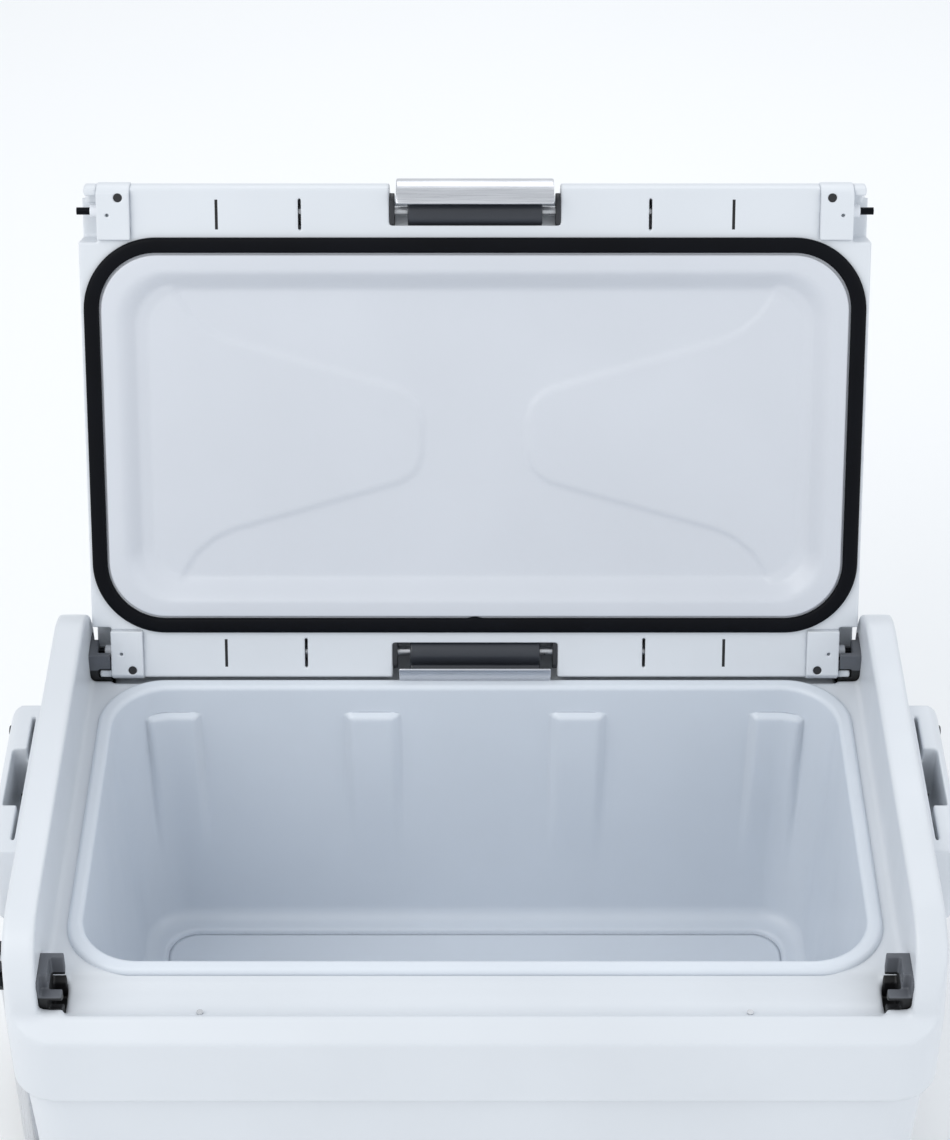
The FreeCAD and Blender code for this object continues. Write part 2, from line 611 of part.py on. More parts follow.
def tow_parts():
    """A U of bent tube that hangs on two clevis brackets at the left end."""
    at = ("-tow_x", "tow_z")
    eye = span_rod("tow_eye", 9, "tow_y - 7.4", "tow_y + 7.4", at, "y")
    bore = span_rod("tow_bore", "carry_pin + running_gap", -150, 150, at, "y")
    tube_and_eyes = fuse("tow_all", both_sides("tow_eyes", eye, "y"), bent_tube("tow_bent"))
    keep("tow_tube", cut("tow_tube", tube_and_eyes, bore))
    sleeve = span_rod("tow_sleeve", "tow_grip", -62, 62, ("-tow_x", "tow_low"), "y")
    sleeve_bore = span_rod("tow_sleeve_bore", "tow_tube", -70, 70, ("-tow_x", "tow_low"), "y")
    keep("tow_grip", cut("tow_grip", sleeve, sleeve_bore))
    block = box("tow_block", ("-bracket_out", -330), ("tow_y - 13", "tow_y + 13"),
                ("tow_z - 14", "tow_z + 14"))
    slot = box("tow_slot", ("-bracket_out - 1", "-tow_x + 10.5"), ("tow_y - 8", "tow_y + 8"),
               ("tow_z - 20", "tow_z + 20"))
    hole = span_rod("tow_hole", "carry_pin", -150, 150, at, "y")
    lug = cut("tow_lug", block, form, slot, hole)
    keep("tow_brackets", group("tow_brackets", [lug, mirrored("tow_lug_front", lug, "y")]))
    bolt = turned("tow_bolt", [(0, -14), ("carry_pin", -14), ("carry_pin", 13), (7, 13), (6, 17), (0, 17)],
                  ("-tow_x", "tow_y", "tow_z"))
    keep("tow_pivot_bolts", group("tow_pivot_bolts", [bolt, mirrored("tow_bolt_front", bolt, "y")]))


tow_parts()

# ---------------------------------------------------------------- drain

inner_x = "-(tub_floor_x + 1)"
bush_solid = rod("drain_bush_solid", "drain_tube", (f"{wall_x} - 2", "drain_y", "drain_z"),
                 f"({inner_x}) - ({wall_x}) + 2")
bush_bore = rod("drain_bush_bore", "drain_bore", ("-body_half_x", "drain_y", "drain_z"), 90)
bushing = fuse("drain_bush_all", bush_solid, bush_flange)
keep("drain_bushing", cut("drain_bushing", bushing, bush_bore))

plug_out = f"{wall_x} - 3.5"
plug_shaft = rod("plug_shaft", "drain_bore - running_gap", (plug_out, "drain_y", "drain_z"),
                 f"({inner_x}) - ({plug_out})")
plug_knob = rod("plug_knob", 17, (f"{plug_out} - 5", "drain_y", "drain_z"), 5)
plug_wing = box("plug_wing", (f"{plug_out} - 9", f"{plug_out} - 4"), ("drain_y - 14", "drain_y + 14"),
                ("drain_z - 3", "drain_z + 3"))
keep("drain_plug", fuse("drain_plug", plug_shaft, plug_knob, plug_wing))
seal_ring = rod("seal_ring", 16, (plug_out, "drain_y", "drain_z"), 1.2)
keep("drain_seal", cut("drain_seal", seal_ring, plug_shaft))

# ---------------------------------------------------------------- lid


def lid_form():
    """The outside of the lid, shut and solid: a raised top between two rolled hinge edges."""
    waist = "pin_high + 21.5"
    outline = [("-pin_y", "lid_under"), ("pin_y", "lid_under"), ("pin_y + 4.5", waist),
               ("pin_y + 7.5", "lid_top - 7"), ("pin_y + 1", "lid_top"), ("-pin_y - 1", "lid_top"),
               ("-pin_y - 7.5", "lid_top - 7"), ("-pin_y - 4.5", waist)]
    top = bar("lid_top_part", outline, "lid_half_x")
    roll = span_rod("lid_roll_rear", "roll", "-lid_half_x", "lid_half_x", ("pin_y", "pin_high"), "x")
    rolls = both_sides("lid_rolls", roll, "y")
    below = box("lid_below", (-330, 330), (-230, 230), (280, "lid_under"))
    return cut("lid_form", fuse("lid_form_all", top, rolls), below)


lid_solid = lid_form()
corner_box = box("lid_corner_box", ("corner_cut_x - 0.5", 330), ("pin_y - 23.5", 230),
                 (300, "pin_high + 20"))
edge_skin = ring_piece("lid_edge_skin", "skin_in", "roll + 2", ("corner_cut_x - 1", "skin_end"), -60, 75)
corner_gap = cut("lid_corner_gap", corner_box, edge_skin)
corner_gaps = quarters("lid_corner_gaps", corner_gap)
latch_gap = box("lid_latch_gap", ("-latch_half", "latch_half"), ("pin_y - 4", 230), (300, "pin_high + 23"))
drum_gap = span_rod("lid_drum_gap", "drum_radius + 2.5", "-latch_half", "latch_half",
                    ("pin_y", "pin_high"), "x")
channel_y = ("pin_y - 12", "pin_y + 12")
channel_z = ("pin_high - 7", "pin_high + 12")
channel_inner = box("lid_channel_inner", (72, 211), channel_y, channel_z)
channel_outer = box("lid_channel_outer", (215, "block_x"), channel_y, channel_z)
rod_hole = rod("lid_rod_hole", "rod_radius + 0.5", (60, "pin_y", "pin_high"), 160)
slits = [box(f"lid_slit_{index}", (x - 1.2, x + 1.2), ("pin_y - 14.4", "pin_y + 11.6"), (320, "pin_high - 6"))
         for index, x in enumerate((140.5, 207))]
block_span = ("block_x", "corner_cut_x - 0.5")
block_box = box("block_box", block_span, (163, "pin_y"), ("block_low", "pin_high + 5"))
block_roll = span_rod("block_roll_part", "block_roll", *block_span, ("pin_y", "pin_high"), "x")
block_zone = box("block_zone", block_span, (163, 230), ("block_low", "pin_high + 5"))
block_one = common("block_one", fuse("block_all", block_box, block_roll), block_zone)
lid_cavity = slab("lid_cavity", "cavity_x", "cavity_y", "cavity_corner", 300, "lid_top - lid_skin")

front_rear_cuts = both_sides("lid_edge_cuts", fuse("lid_edge_cut", latch_gap, drum_gap), "y")
per_corner = quarters("lid_corner_cuts", fuse("lid_corner_cut", channel_inner, channel_outer, rod_hole,
                                              block_one, *slits))
on_lid("lid_shell", cut("lid_shell", lid_solid, corner_gaps, front_rear_cuts, per_corner, lid_cavity))


def lid_liner():
    """The inner panel: flange, raised border and a sunk tray with two low side pads."""
    seat = slab("liner_seat", "cavity_x", "cavity_y", "cavity_corner", "lid_under", "lid_under + liner_wall")
    ridge = slab("liner_ridge", "gasket_x - gasket_wide - 0.6", "gasket_y - gasket_wide - 0.6",
                 "gasket_corner - gasket_wide", "lid_under - ridge_high", "lid_under + 1")
    low = "lid_under - ridge_high"
    deep = f"{low} + tray_deep"
    backing = tapered("tray_backing", ("tray_x + 4", "tray_y + 4", "tray_corner + 4", "lid_under"),
                      ("tray_floor_x + 4", "tray_floor_y + 4", "tray_corner - 4", f"{deep} + liner_wall"))
    tray = tapered("tray_hollow", ("tray_x", "tray_y", "tray_corner", low),
                   ("tray_floor_x", "tray_floor_y", "tray_corner - 8", deep))
    pad = upright("tray_pad", [(46, -16), (46, 16), (62, 39), (212, 84), (232, 100), (244, 121), (264, 121),
                               (264, -121), (244, -121), (232, -100), (212, -84), (62, -39)],
                  f"{deep} - 1.5", f"{deep} + 1")
    pads = common("tray_pads", both_sides("tray_pads_all", pad, "x"), tray)
    panel = cut("liner_panel", fuse("liner_panel_solid", seat, ridge, backing), tray)
    return fuse("lid_liner", panel, pads), fuse("liner_back", seat, backing)


liner_panel, liner_back = lid_liner()
on_lid("lid_liner", liner_panel)
foam_block = slab("lid_foam_block", "cavity_x", "cavity_y", "cavity_corner", "lid_under + liner_wall",
                  "lid_top - lid_skin")
on_lid("lid_foam", cut("lid_foam", foam_block, liner_back))

gasket_band = slab("gasket_band", "gasket_x", "gasket_y", "gasket_corner", "lid_under - gasket_high",
                   "lid_under")
gasket_hole = slab("gasket_hole", "gasket_x - gasket_wide", "gasket_y - gasket_wide",
                   "gasket_corner - gasket_wide", "lid_under - 10", "lid_under + 10")
on_lid("lid_gasket", cut("lid_gasket", gasket_band, gasket_hole))

bush_body = rod("bush_body", 5, (280, "pin_y", "pin_high"), 29)
bush_hole = rod("bush_hole", "pin_radius + running_gap", (270, "pin_y", "pin_high"), 60)
screw_high = "block_low + 3"
screw_well = rod("block_screw_well", 3.6, (285, "pin_y + 12.5", 300), f"{screw_high} - 300", "z")
screw_hole = rod("block_screw_hole", 1.75, (285, "pin_y + 12.5", 300), 55, "z")
peep_hole = rod("block_peep", 1.5, (294, "pin_y - 1.5", 300), "block_low - 294", "z")
block_bore = rod("block_bore", "rod_radius", (270, "pin_y", "pin_high"), 20)
block = cut("corner_block_one", block_one, bush_body, block_bore, screw_well, screw_hole, peep_hole)
on_lid("lid_corner_blocks", quarters("lid_corner_blocks", block))
on_lid("pin_bushes", quarters("pin_bushes", cut("bush_one", bush_body, bush_hole)))
block_screw = fuse("block_screw_one",
                   rod("block_screw_head", 3.5, (285, "pin_y + 12.5", "block_low + 1"), 2, "z"),
                   rod("block_screw_shank", 1.7, (285, "pin_y + 12.5", "block_low + 2"), 16, "z"))
on_lid("block_screws", quarters("block_screws", block_screw))

# ---------------------------------------------------------------- latches


LEVER_LOW = -70
LEVER_HIGH = 34
LEVER_TURN = 30
SLOT_STEPS = 12


def cam_slot(name):
    """The helical slot of a drum, as a row of holes along the path of the link rod's peg."""
    holes = []
    for index in range(SLOT_STEPS + 1):
        part = index / SLOT_STEPS
        hole = rod(f"{name}_{index}", "peg + peg_gap", (0, 0, 0), "drum_radius + 2", "z")
        hole.Placement = FreeCAD.Placement(FreeCAD.Vector(), FreeCAD.Rotation(FreeCAD.Vector(1, 0, 0),
                                                                              -LEVER_TURN * part))
        holes.append(place(hole, (f"peg_x - {part} * pin_travel", "pin_y", "pin_high")))
    return both_sides(name, fuse(name + "_path", *holes), "x")


def latch(side):
    """One lever across the middle of a long edge. Turning it draws two link rods inwards."""
    name = side + "_"
    drum = span_rod(name + "drum_solid", "drum_radius", "-drum_half", "drum_half", ("pin_y", "pin_high"), "x")
    across = ("9 - plate_half", "plate_half - 9")
    web = ring_piece(name + "web", "drum_radius - 1", "plate_in", across, -32, -14)
    bore = span_rod(name + "drum_bore", "rod_radius + running_gap", "-drum_half - 1", "drum_half + 1",
                    ("pin_y", "pin_high"), "x")
    drum_shape = cut(name + "drum", fuse(name + "drum_all", drum, web), bore, cam_slot(name + "cam_slot"))
    plate = ring_piece(name + "plate", "plate_in", "plate_out", ("-plate_half", "plate_half"),
                       LEVER_LOW, LEVER_HIGH)
    cheek = ring_piece(name + "cheeks_disc", 0.5, 14.3, ("-latch_half", "latch_half"), 0, 360)
    inner = span_rod(name + "cheek_space", 20, "-latch_half + cheek", "latch_half - cheek",
                     ("pin_y", "pin_high"), "x")
    hole = span_rod(name + "cheek_bore", "rod_radius + running_gap", "-latch_half - 1", "latch_half + 1",
                    ("pin_y", "pin_high"), "x")
    cheeks = cut(name + "cheeks", cheek, inner, hole)
    below = box(name + "cheek_below", (-80, 80), (150, 230), (280, "lid_under"))
    return {"lever_drum": drum_shape, "lever_plate": plate,
            "latch_cheeks": cut(name + "cheeks_cut", cheeks, below)}


rear = latch("latch")
for part_name, shape in rear.items():
    on_lid(part_name + "_rear", shape)
    on_lid(part_name + "_front", mirrored(part_name + "_front_copy", shape, "y"))


def coil(name, radius, wire, start, length, turns):
    """A compression spring about the rear pin axis, as a wire swept along a helix."""
    helix = Part.makeHelix(length / turns, length, radius)
    profile = Part.Wire(Part.makeCircle(wire, FreeCAD.Vector(radius, 0, 0), FreeCAD.Vector(0, 1, 0)))
    obj = doc.addObject("Part::Feature", name)
    obj.Shape = Part.Wire(helix).makePipeShell([profile], True, True)
    obj.Placement = FreeCAD.Placement(FreeCAD.Vector(start, number("pin_y"), number("pin_high")), TURNS["x"])
    return obj


def pin_set():
    """The sliding parts at the right rear corner: link rod with cam peg and collar, pin and spring."""
    shaft = span_rod("link_shaft", "rod_radius", "rod_root", "pin_root", ("pin_y", "pin_high"), "x")
    peg = rod("link_peg", "peg", ("peg_x", "pin_y", "pin_high"), "drum_radius - 1", "z")
    collar = rod("link_collar", 7, (246, "pin_y", "pin_high"), 4)
    socket_bore = rod("link_socket", 1.5, ("pin_root - 10", "pin_y", "pin_high"), 12)
    link = cut("link_rod_one", fuse("link_all", shaft, peg, collar), socket_bore)
    tip = span_rod("pin_tip_part", "pin_radius", "pin_root", "pin_tip", ("pin_y", "pin_high"), "x")
    stud = rod("pin_stud", 1.5, ("pin_root - 10", "pin_y", "pin_high"), 12)
    pin = fuse("hinge_pin_one", tip, stud)
    return {"link_rod": link, "hinge_pin": pin, "pin_spring": coil("pin_spring_one", 5.6, 0.7, 216, 29, 7)}


for part_name, shape in pin_set().items():
    for corner, (sign_x, sign_y) in CORNERS.items():
        copy = shape
        if sign_x < 0:
            copy = mirrored(f"{part_name}_{corner}_x", copy, "x")
        if sign_y < 0:
            copy = mirrored(f"{part_name}_{corner}_y", copy, "y")
        if copy is shape:
            copy = group(f"{part_name}_{corner}_copy", [shape])
        on_lid(f"{part_name}_{corner}", copy)

# ---------------------------------------------------------------- check and write

doc.recompute()

hinge = FreeCAD.Vector(0, number("pin_y"), number("pin_high"))
opened = FreeCAD.Placement(FreeCAD.Vector(), FreeCAD.Rotation(FreeCAD.Vector(1, 0, 0), -OPEN_ANGLE), hinge)

for obj in doc.Objects:
    if "Invalid" in obj.State or "Error" in obj.State:
        raise RuntimeError(f"{obj.Name} failed: {obj.State}")

os.makedirs("parts", exist_ok=True)
for name, obj, swings in NODES:
    shape = obj.Shape.copy()
    if shape.isNull() or not shape.isValid():
        raise RuntimeError(f"{name} has no valid shape")
    if swings:
        shape.Placement = opened.multiply(shape.Placement)
    shape.exportStep(f"parts/{name}.step")
    print(name, len(shape.Solids), round(shape.Volume / 1000, 1), "cm3")
print(len(NODES), "nodes")
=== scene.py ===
import json
import math

import bmesh
import bpy
import numpy as np
from mathutils import Matrix, Vector


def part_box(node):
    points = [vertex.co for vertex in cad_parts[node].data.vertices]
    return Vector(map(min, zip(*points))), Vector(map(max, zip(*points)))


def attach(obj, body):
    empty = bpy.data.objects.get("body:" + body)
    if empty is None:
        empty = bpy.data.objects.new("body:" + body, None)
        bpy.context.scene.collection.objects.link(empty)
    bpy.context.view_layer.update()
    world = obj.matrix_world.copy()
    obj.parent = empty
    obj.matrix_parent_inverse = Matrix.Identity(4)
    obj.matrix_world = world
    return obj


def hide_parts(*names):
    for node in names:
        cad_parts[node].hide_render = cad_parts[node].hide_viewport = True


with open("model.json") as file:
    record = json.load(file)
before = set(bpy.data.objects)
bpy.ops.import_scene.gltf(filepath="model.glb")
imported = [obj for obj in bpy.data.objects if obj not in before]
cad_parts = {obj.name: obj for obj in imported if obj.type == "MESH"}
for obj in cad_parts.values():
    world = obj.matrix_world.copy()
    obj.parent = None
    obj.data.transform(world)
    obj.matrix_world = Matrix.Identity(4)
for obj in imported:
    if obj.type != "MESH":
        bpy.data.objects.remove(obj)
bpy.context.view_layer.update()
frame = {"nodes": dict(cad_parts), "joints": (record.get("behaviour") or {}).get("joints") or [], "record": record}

# Looks of the wheeled cool box. Metres, in the row frame. Lid pieces are shaped with the
# lid shut, where they are level, and then turned open about the rear pins.

MM = 0.001
TURN = 2 * math.pi


# ---------------------------------------------------------------- the lid's own frame

hinge = next(joint for joint in frame["joints"] if joint["name"] == "lid_hinge")
PIN = Vector(hinge["pos_m"])
SWING = math.radians(114.3)      # from the open rest pose to shut
OPENED = Matrix.Translation(PIN) @ Matrix.Rotation(-SWING, 4, "X") @ Matrix.Translation(-PIN)
SHUT = OPENED.inverted()


def shut_box(node):
    """Lowest and highest corner of a lid node, with the lid shut."""
    corners = np.array([SHUT @ vertex.co for vertex in frame["nodes"][node].data.vertices])
    return Vector(corners.min(0)), Vector(corners.max(0))


# ---------------------------------------------------------------- materials

class Finish:
    """A Principled material, with short ways to add the nodes that feed it."""

    def __init__(self, name, **settings):
        self.material = bpy.data.materials.new(name)
        self.material.use_nodes = True
        self.tree = self.material.node_tree
        self.surface = self.tree.nodes["Principled BSDF"]
        for key, value in settings.items():
            self.surface.inputs[key.replace("_", " ")].default_value = value
        self.place = self.add("ShaderNodeTexCoord").outputs["Object"]

    def add(self, kind, inputs=None, **settings):
        node = self.tree.nodes.new(kind)
        for key, value in settings.items():
            setattr(node, key, value)
        for key, value in (inputs or {}).items():
            if isinstance(value, bpy.types.NodeSocket):
                self.tree.links.new(value, node.inputs[key])
            else:
                node.inputs[key].default_value = value
        return node

    def noise(self, scale, detail=3.0, stretch=(1, 1, 1)):
        """Soft noise over the piece; scale is in blotches per metre."""
        spot = self.add("ShaderNodeMapping", {"Vector": self.place, "Scale": stretch})
        inputs = {"Vector": spot.outputs[0], "Scale": scale, "Detail": detail}
        return self.add("ShaderNodeTexNoise", inputs).outputs["Fac"]

    def between(self, value, low, high, start=0.3, end=0.7):
        node = self.add("ShaderNodeMapRange", {"Value": value, "From Min": start, "From Max": end,
                                               "To Min": low, "To Max": high})
        return node.outputs["Result"]

    def math(self, operation, first, second):
        node = self.add("ShaderNodeMath", operation=operation)
        for socket, value in zip(node.inputs, (first, second)):
            if isinstance(value, bpy.types.NodeSocket):
                self.tree.links.new(value, socket)
            else:
                socket.default_value = value
        return node.outputs[0]

    def tint(self, amount, dark, light):
        node = self.add("ShaderNodeMix", {"Factor": amount}, data_type="RGBA")
        for socket, value in ((node.inputs[6], dark), (node.inputs[7], light)):
            if isinstance(value, bpy.types.NodeSocket):
                self.tree.links.new(value, socket)
            else:
                socket.default_value = (*value, 1)
        return node.outputs[2]

    def blend(self, base, painted_shade_beyond):
        """base, turning to a painted shade colour along one axis: (axis, start, end, colour)."""
        axis, start, end, shade_colour = painted_shade_beyond
        along = self.add("ShaderNodeSeparateXYZ", {"Vector": self.place}).outputs[axis]
        share = self.between(self.math("ABSOLUTE", along, 0), 0, 1, start, end)
        return self.tint(share, base, shade_colour)

    def feed(self, socket, value):
        self.tree.links.new(value, self.surface.inputs[socket])

    def bump(self, height, depth):
        node = self.add("ShaderNodeBump", {"Height": height, "Distance": depth, "Strength": 1.0})
        self.feed("Normal", node.outputs[0])


def shade(color, factor):
    return tuple(min(1.0, channel * factor) for channel in color)


# Near-black painted shade, for the lid's slits and the sockets' hollows.
PAINTED_HOLLOW_SHADE = (0.004, 0.004, 0.005)


def painted_slit_shade(finish, base):
    """base, with near-black painted shade in the four narrow slits across each hinge edge of the lid, where an
    open slit would be dark inside.
    """
    shut = finish.add("ShaderNodeMapping", {"Vector": finish.place, "Rotation": (SWING, 0, 0),
                                            "Location": SHUT @ Vector((0, 0, 0))})
    spot = finish.add("ShaderNodeSeparateXYZ", {"Vector": shut.outputs[0]}).outputs
    across, along = (finish.math("ABSOLUTE", spot[axis], 0) for axis in ("X", "Y"))

    def near(value, centre, reach):
        node = finish.add("ShaderNodeMath", {0: value, 1: centre, 2: reach}, operation="COMPARE")
        return node.outputs[0]

    half_wide = 1.2 * MM
    inner, outer = (near(across, place * MM, half_wide) for place in (140.5, 207))
    slit_shade = finish.math("ADD", inner, outer)
    by_pin = near(along, PIN.y - 1.4 * MM, 12 * MM)
    underside = near(spot["Z"], 326 * MM, 8 * MM)
    on_edge = finish.math("MULTIPLY", by_pin, underside)
    return finish.tint(finish.math("MULTIPLY", slit_shade, on_edge), base, PAINTED_HOLLOW_SHADE)


def moulded(name, color, rough, grain=900, depth=0.03 * MM, wear_and_highlight=0.06, painted_shade_beyond=None, slit_shade=False):
    """Moulded plastic: cloudy colour, a fine grain, uneven gloss, and edges lightened as wear and painted
    highlight. The optional (axis, start, end, colour) darkens a piece past a point on one axis with painted shade."""
    finish = Finish(name)
    cloud = finish.noise(7, 2)
    base = finish.tint(finish.between(cloud, 0, 1), shade(color, 0.975), shade(color, 1.015))
    # Convex edges are lightened, found by pointiness: partly wear, partly painted highlight.
    edge = finish.add("ShaderNodeNewGeometry").outputs["Pointiness"]
    rubbed_and_highlit = finish.between(edge, 0, wear_and_highlight, 0.53, 0.62)
    scuffs = finish.between(finish.noise(60, 4), 0.2, 1)
    base = finish.tint(finish.math("MULTIPLY", rubbed_and_highlit, scuffs), base, shade(color, 1.25))
    # Painted shade in the lid's slits.
    if slit_shade:
        base = painted_slit_shade(finish, base)
    finish.feed("Base Color", finish.blend(base, painted_shade_beyond) if painted_shade_beyond else base)
    smear = finish.noise(35, 4, (1, 1, 0.4))
    finish.feed("Roughness", finish.between(smear, rough - 0.05, rough + 0.06))
    fine = finish.noise(grain, 2)
    wave = finish.noise(55, 1)
    finish.bump(finish.math("ADD", fine, finish.math("MULTIPLY", wave, 1.6)), depth)
    return finish.material


def brushed(name, color, rough, stretch, scale=1400, depth=0.02 * MM, painted_shade_beyond=None):
    """Metal with fine parallel scratches, with the same optional painted shade along one axis as moulded."""
    finish = Finish(name, Metallic=1.0)
    lines = finish.noise(scale, 3, stretch)
    cloud = finish.noise(14, 2)
    base = finish.tint(finish.between(lines, 0, 1), shade(color, 0.88), shade(color, 1.06))
    base = finish.tint(finish.between(cloud, 0, 0.25), base, shade(color, 0.9))
    finish.feed("Base Color", finish.blend(base, painted_shade_beyond) if painted_shade_beyond else base)
    finish.feed("Roughness", finish.between(lines, rough - 0.07, rough + 0.09))
    finish.bump(lines, depth)
    return finish.material


def rubber(name, color, rough, grain=500, dust=(0.20, 0.20, 0.20), gloss=0.5):
    """Matt rubber with a pebbled skin and a little dust where it is rubbed."""
    finish = Finish(name, IOR=1.48, Specular_IOR_Level=gloss)
    cloud = finish.between(finish.noise(22, 4), 0, 1)
    base = finish.tint(cloud, shade(color, 0.85), shade(color, 1.2))
    edge = finish.add("ShaderNodeNewGeometry").outputs["Pointiness"]
    base = finish.tint(finish.between(edge, 0, 0.10, 0.52, 0.62), base, dust)
    finish.feed("Base Color", base)
    finish.feed("Roughness", finish.between(finish.noise(80, 3), rough - 0.06, rough + 0.06))
    cells = finish.add("ShaderNodeTexVoronoi", {"Vector": finish.place, "Scale": grain}).outputs["Distance"]
    finish.bump(cells, 0.05 * MM)
    return finish.material


def foamed(name, color):
    """Cut closed-cell foam."""
    finish = Finish(name)
    cells = finish.add("ShaderNodeTexVoronoi", {"Vector": finish.place, "Scale": 420}).outputs["Distance"]
    depth = finish.between(cells, 0, 1, 0, 0.8)
    finish.feed("Base Color", finish.tint(depth, shade(color, 1.05), shade(color, 0.8)))
    finish.feed("Roughness", finish.between(cells, 0.75, 0.95, 0, 0.8))
    finish.bump(cells, 0.4 * MM)
    return finish.material


FINISHES = {
    # The white shell carries the painted shade of the lid's slits.
    "white_shell": moulded("white_shell", (0.70, 0.73, 0.77), 0.36, slit_shade=True),
    "white_liner": moulded("white_liner", (0.71, 0.755, 0.815), 0.34, wear_and_highlight=0.03),
    "lid_panel": moulded("lid_panel", (0.64, 0.665, 0.715), 0.34, wear_and_highlight=0.03),
    "foam": foamed("foam", (0.86, 0.80, 0.60)),
    "dark_plastic": moulded("dark_plastic", (0.022, 0.024, 0.029), 0.50, 1200, 0.05 * MM, 0.3),
    # Socket hollows are painted near black below 332.5 mm in height: painted shade.
    "socket_grey": moulded("socket_grey", (0.11, 0.118, 0.135), 0.48, 1200, 0.04 * MM, 0.2,
                           ("Z", 333.5 * MM, 332.5 * MM, PAINTED_HOLLOW_SHADE)),
    "pin_white": moulded("pin_white", (0.80, 0.82, 0.86), 0.30),
    # Pins are painted near black past 309.5 mm along x, where they run into the sockets: painted shade.
    "steel": brushed("steel", (0.58, 0.59, 0.61), 0.32, (1, 1, 0.05),
                     painted_shade_beyond=("X", 309.2 * MM, 309.5 * MM, (0.010, 0.011, 0.013))),
    "black_screw": moulded("black_screw", (0.012, 0.012, 0.014), 0.38, 1500, 0.02 * MM, 0.4),
    "tyre_rubber": rubber("tyre_rubber", (0.022, 0.022, 0.024), 0.70),
    "hub_plastic": moulded("hub_plastic", (0.30, 0.32, 0.35), 0.42, 1000, 0.03 * MM, 0.12),
    "handle_grey": moulded("handle_grey", (0.034, 0.038, 0.048), 0.36, 1200, 0.03 * MM, 0.3),
    "grip_rubber": rubber("grip_rubber", (0.020, 0.021, 0.024), 0.62, 700),
    "tow_aluminium": brushed("tow_aluminium", (0.68, 0.69, 0.71), 0.30, (1, 1, 0.03)),
    "brushed_plate": brushed("brushed_plate", (0.66, 0.67, 0.70), 0.30, (0.015, 1, 1)),
    "gasket_black": rubber("gasket_black", (0.0016, 0.0021, 0.0040), 0.46, 900, (0.006, 0.007, 0.010), 0.12),
}
slot_of = {part["node"]: part["material_slot"] for part in frame["record"]["subparts"]}


def dress(obj, slot):
    """Give a piece the material of one of the record's slots."""
    obj.data.materials.clear()
    obj.data.materials.append(FINISHES[slot])


# ---------------------------------------------------------------- CAD pieces that stay

# Moulded pieces: voxel size in millimetres, and smoothing passes that round their edges.
MOULDED = {
    "outer_shell": (2.2, 5), "lid_shell": (1.2, 2), "base_tray": (3.0, 4),
    "socket_front_left": (0.8, 3), "socket_front_right": (0.8, 3),
    "socket_rear_left": (0.8, 3), "socket_rear_right": (0.8, 3),
    "carry_bracket_left": (1.2, 4), "carry_bracket_right": (1.2, 4),
    "carry_handle_left": (1.0, 4), "carry_handle_right": (1.0, 4),
    "lid_corner_blocks": (0.7, 4), "pin_bushes": (0.5, 2), "tow_brackets": (0.8, 4),
    "wheel_hub_front": (1.2, 3), "wheel_hub_back": (1.2, 3),
    "latch_cheeks_front": (0.6, 3), "latch_cheeks_rear": (0.6, 3),
    "lever_drum_front": (0.8, 3), "lever_drum_rear": (0.8, 3),
    "drain_bushing": (0.8, 3), "drain_plug": (0.8, 3), "axle_caps": (0.6, 3),
}


def soften(obj, voxel, passes):
    """Round the edges of a moulded piece with modifiers; its mesh isn't changed."""
    remesh = obj.modifiers.new("even mesh", "REMESH")
    remesh.mode = "VOXEL"
    remesh.voxel_size = voxel * MM
    remesh.use_smooth_shade = True
    smooth = obj.modifiers.new("round edges", "SMOOTH")
    smooth.factor = 0.5
    smooth.iterations = passes


for name, node in frame["nodes"].items():
    dress(node, slot_of[name])
    if name in MOULDED:
        soften(node, *MOULDED[name])


# ---------------------------------------------------------------- meshes from rings

def rounded_ring(half_x, half_y, corner, counts):
    """Points round a rounded rectangle, as an array of (x, y). counts is (per long side,
    per short side, per corner), so that rings of one count join up point by point."""
    long_side, short_side, bend = counts
    reach_x, reach_y = half_x - corner, half_y - corner
    points = []
    for quarter, (sign_x, sign_y) in enumerate(((1, 1), (-1, 1), (-1, -1), (1, -1))):
        centre = (sign_x * reach_x, sign_y * reach_y)
        for step in range(bend):
            angle = (quarter + step / bend) * math.pi / 2
            points.append((centre[0] + corner * math.cos(angle), centre[1] + corner * math.sin(angle)))
        end = (quarter + 1) * math.pi / 2
        start = Vector((centre[0] + corner * math.cos(end), centre[1] + corner * math.sin(end)))
        steps = long_side if quarter % 2 == 0 else short_side
        travel = Vector((-math.sin(end), math.cos(end)))
        run = 2 * (reach_x if quarter % 2 == 0 else reach_y)
        points += [tuple(start + travel * run * step / steps) for step in range(steps)]
    return np.array(points)


def mesh_object(name, vertices, faces):
    mesh = bpy.data.meshes.new(name)
    mesh.from_pydata([tuple(map(float, vertex)) for vertex in vertices], [], faces)
    mesh.update()
    mesh.shade_smooth()
    obj = bpy.data.objects.new(name, mesh)
    bpy.context.scene.collection.objects.link(obj)
    return obj


def clean(obj, flip=False, capped=False):
    """Merge doubled points, close the ends if capped, and turn all faces the same way."""
    work = bmesh.new()
    work.from_mesh(obj.data)
    if capped:
        bmesh.ops.holes_fill(work, edges=work.edges, sides=0)
    bmesh.ops.remove_doubles(work, verts=work.verts, dist=1e-6)
    bmesh.ops.dissolve_degenerate(work, edges=work.edges, dist=1e-7)
    bmesh.ops.recalc_face_normals(work, faces=work.faces)
    if flip:
        bmesh.ops.reverse_faces(work, faces=work.faces)
    work.to_mesh(obj.data)
    work.free()
    obj.data.shade_smooth()
    return obj


